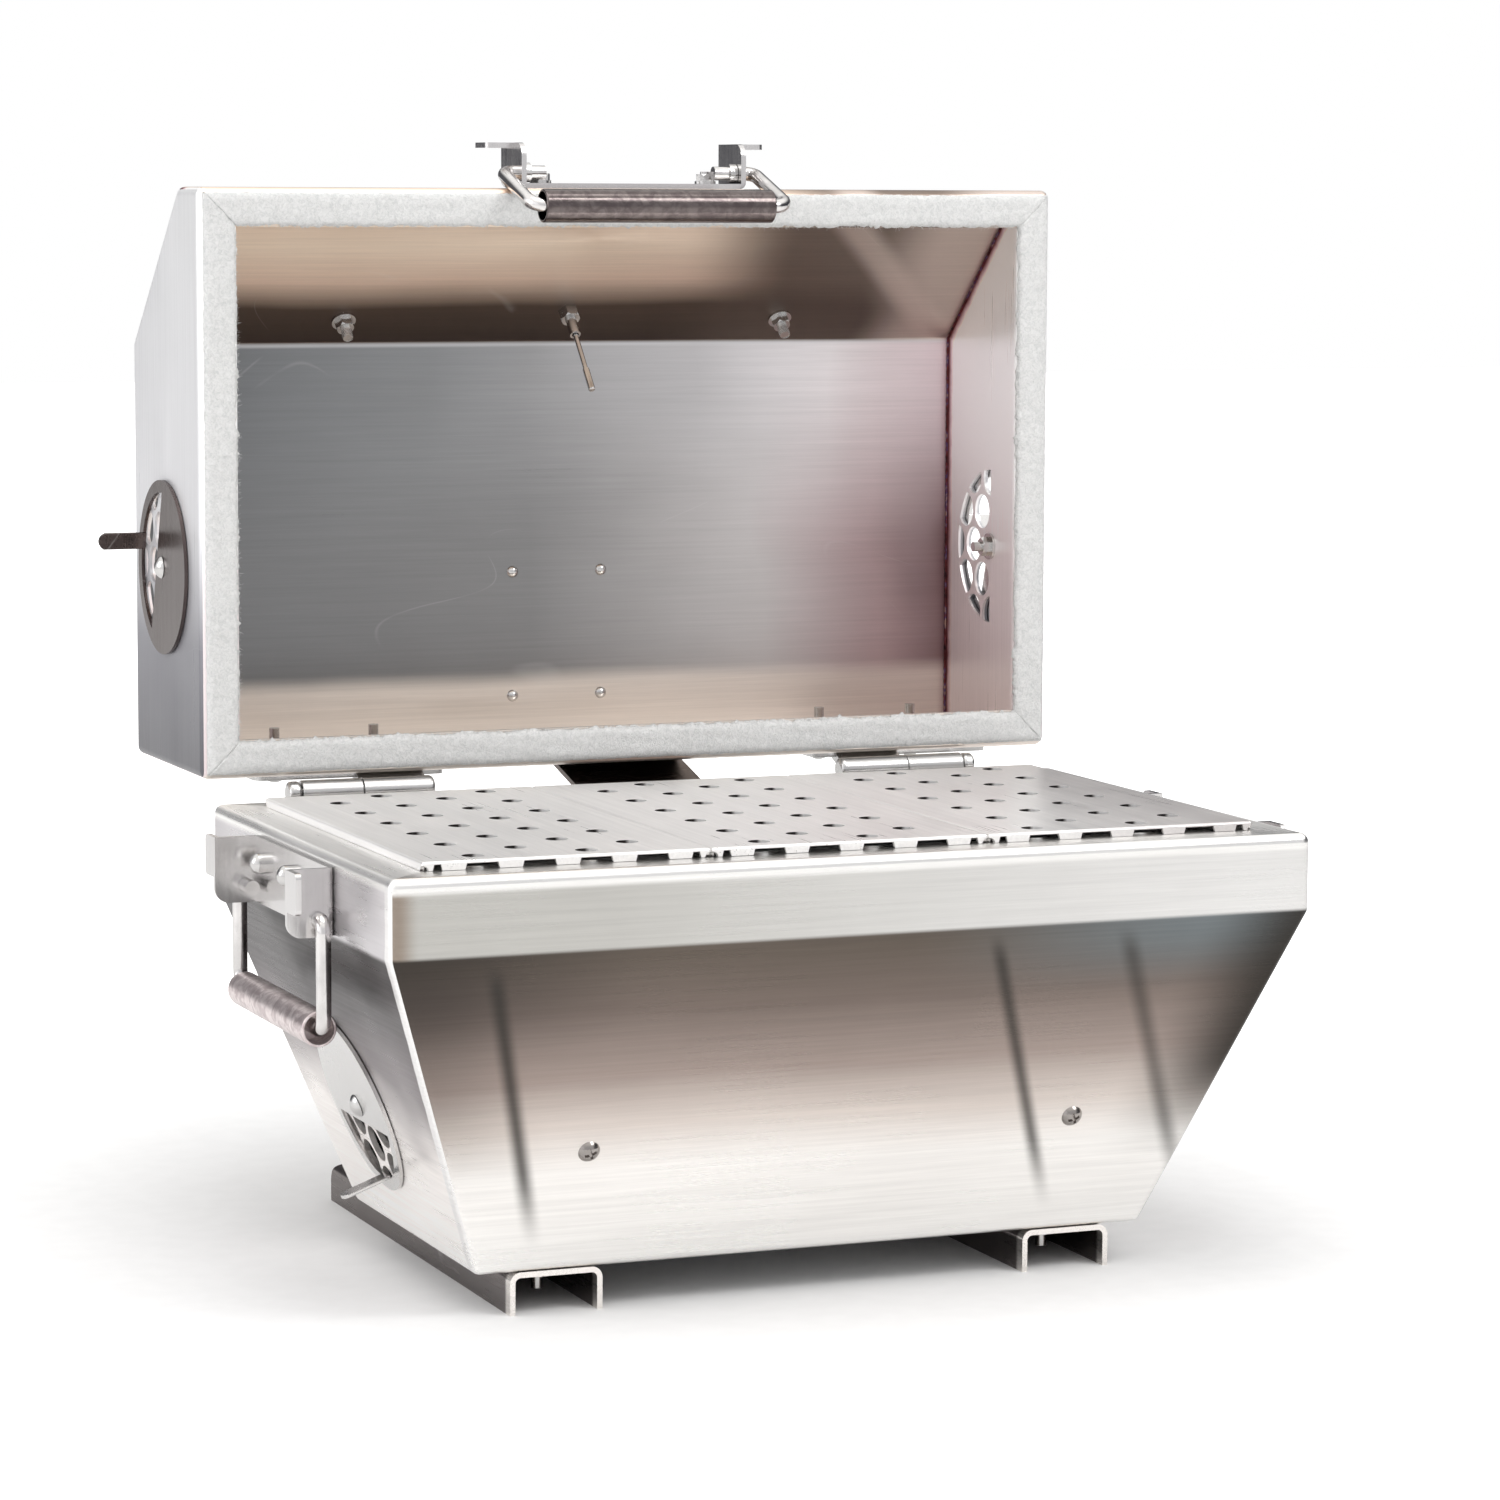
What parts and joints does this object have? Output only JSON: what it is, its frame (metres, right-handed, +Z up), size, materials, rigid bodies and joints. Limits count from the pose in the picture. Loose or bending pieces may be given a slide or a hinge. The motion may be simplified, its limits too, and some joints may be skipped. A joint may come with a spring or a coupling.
{
  "type": "portable charcoal grill",
  "caption": "Portable box charcoal grill in folded stainless sheet with a hinged lid on a stop strap, felt lid seal, lift-out grates, round vents and swinging bail handles.",
  "frame": {"origin": "bottom centre of the bounding box, with the lid open on its stop", "axes": "+Z up, the front faces -Y, +X to the right seen from the front"},
  "size_m": [0.581, 0.4876, 0.6135],
  "materials": {
    "brushed": "brushed",
    "bright": "satin",
    "polished": "polished",
    "felt": "matte",
    "glass": "clear",
    "dial": "matte",
    "pointer": "satin"
  },
  "bodies": {
    "firebox": {"firebox_front": "brushed", "firebox_back": "brushed", "firebox_left": "brushed", "firebox_right": "brushed", "firebox_floor": "brushed", "foot_left": "brushed", "foot_right": "brushed", "side_bracket_left": "brushed", "side_bracket_right": "brushed", "charcoal_rail_front": "brushed", "charcoal_rail_back": "brushed", "charcoal_grate": "brushed", "hinge_base_leaf_left": "brushed", "hinge_base_leaf_right": "brushed", "foot_fasteners": "bright", "side_bracket_fasteners": "bright", "rail_fasteners": "bright", "hinge_base_fasteners": "bright", "firebox_vent_fasteners": "bright"},
    "lid": {"lid_shell": "brushed", "lid_end_left": "brushed", "lid_end_right": "brushed", "felt_front": "felt", "felt_back": "felt", "felt_left": "felt", "felt_right": "felt", "lid_bracket": "brushed", "lid_bracket_fasteners": "bright", "hinge_lid_leaf_left": "brushed", "hinge_lid_leaf_right": "brushed", "hinge_pins": "bright", "hinge_lid_fasteners": "bright", "lid_stop_strap": "brushed", "lid_rivets": "bright", "slant_fasteners": "bright", "lid_vent_fasteners": "bright", "thermometer_case": "bright", "thermometer_dial": "dial", "thermometer_stem": "bright", "thermometer_nut": "bright", "thermometer_lens": "glass", "thermometer_bezel": "polished"},
    "lid_bail_carrier": {"bail_pivot_washers": "bright"},
    "bail_lid": {"bail_lid": "bright"},
    "grip_lid": {"grip_lid": "polished"},
    "bail_left": {"bail_left": "bright"},
    "grip_left": {"grip_left": "polished"},
    "bail_right": {"bail_right": "bright"},
    "grip_right": {"grip_right": "polished"},
    "vent_firebox_left": {"vent_disc_firebox_left": "brushed"},
    "vent_firebox_right": {"vent_disc_firebox_right": "brushed"},
    "vent_lid_left": {"vent_disc_lid_left": "brushed"},
    "vent_lid_right": {"vent_disc_lid_right": "brushed"},
    "grate_left": {"cooking_grate_left": "brushed"},
    "grate_centre": {"cooking_grate_centre": "brushed"},
    "grate_right": {"cooking_grate_right": "brushed"},
    "needle": {"thermometer_needle": "pointer"}
  },
  "joints": [
    {"name": "lid_hinge", "type": "hinge", "parent": "firebox", "child": "lid", "pos_m": [0, 0.09375, 0.2465], "axis": [-1, 0, 0], "range_deg": [-90, 0]},
    {"name": "lid_bail_follow", "type": "hinge", "parent": "lid", "child": "lid_bail_carrier", "pos_m": [0, 0.11125, 0.5965], "axis": [-1, 0, 0], "range_deg": [0, 20]},
    {"name": "lid_bail", "type": "hinge", "parent": "lid_bail_carrier", "child": "bail_lid", "pos_m": [0, 0.11125, 0.5965], "axis": [-1, 0, 0], "range_deg": [0, 88]},
    {"name": "lid_grip_spin", "type": "hinge", "parent": "bail_lid", "child": "grip_lid", "pos_m": [0, 0.05688, 0.57778], "axis": [1, 0, 0], "continuous": true},
    {"name": "left_bail", "type": "hinge", "parent": "firebox", "child": "bail_left", "pos_m": [-0.269, -0.08125, 0.2115], "axis": [0, 1, 0], "range_deg": [-15, 88]},
    {"name": "left_grip_spin", "type": "hinge", "parent": "bail_left", "child": "grip_left", "pos_m": [-0.269, -0.08125, 0.154], "axis": [0, 1, 0], "continuous": true},
    {"name": "right_bail", "type": "hinge", "parent": "firebox", "child": "bail_right", "pos_m": [0.269, -0.08125, 0.2115], "axis": [0, -1, 0], "range_deg": [-15, 88]},
    {"name": "right_grip_spin", "type": "hinge", "parent": "bail_right", "child": "grip_right", "pos_m": [0.269, -0.08125, 0.154], "axis": [0, 1, 0], "continuous": true},
    {"name": "left_firebox_vent", "type": "hinge", "parent": "firebox", "child": "vent_firebox_left", "pos_m": [-0.22085, -0.06925, 0.09741], "axis": [-0.9365, 0, -0.3505], "continuous": true},
    {"name": "right_firebox_vent", "type": "hinge", "parent": "firebox", "child": "vent_firebox_right", "pos_m": [0.22085, -0.06925, 0.09741], "axis": [0.9365, 0, -0.3505], "continuous": true},
    {"name": "left_lid_vent", "type": "hinge", "parent": "lid", "child": "vent_lid_left", "pos_m": [-0.262, 0.16975, 0.3705], "axis": [-1, 0, 0], "continuous": true},
    {"name": "right_lid_vent", "type": "hinge", "parent": "lid", "child": "vent_lid_right", "pos_m": [0.262, 0.16975, 0.3705], "axis": [1, 0, 0], "continuous": true},
    {"name": "left_grate_lift", "type": "slide", "parent": "firebox", "child": "grate_left", "axis": [0, 0, 1], "range_m": [0, 0.05]},
    {"name": "centre_grate_lift", "type": "slide", "parent": "firebox", "child": "grate_centre", "axis": [0, 0, 1], "range_m": [0, 0.05]},
    {"name": "right_grate_lift", "type": "slide", "parent": "firebox", "child": "grate_right", "axis": [0, 0, 1], "range_m": [0, 0.05]},
    {"name": "needle_turn", "type": "hinge", "parent": "lid", "child": "needle", "pos_m": [0, 0.21677, 0.51703], "axis": [0, 0.6727, 0.7399], "range_deg": [-250, 0]}
  ],
  "couplings": [
    {"joint": "lid_bail_follow", "follows": "lid_hinge", "ratio": -0.22222}
  ]
}
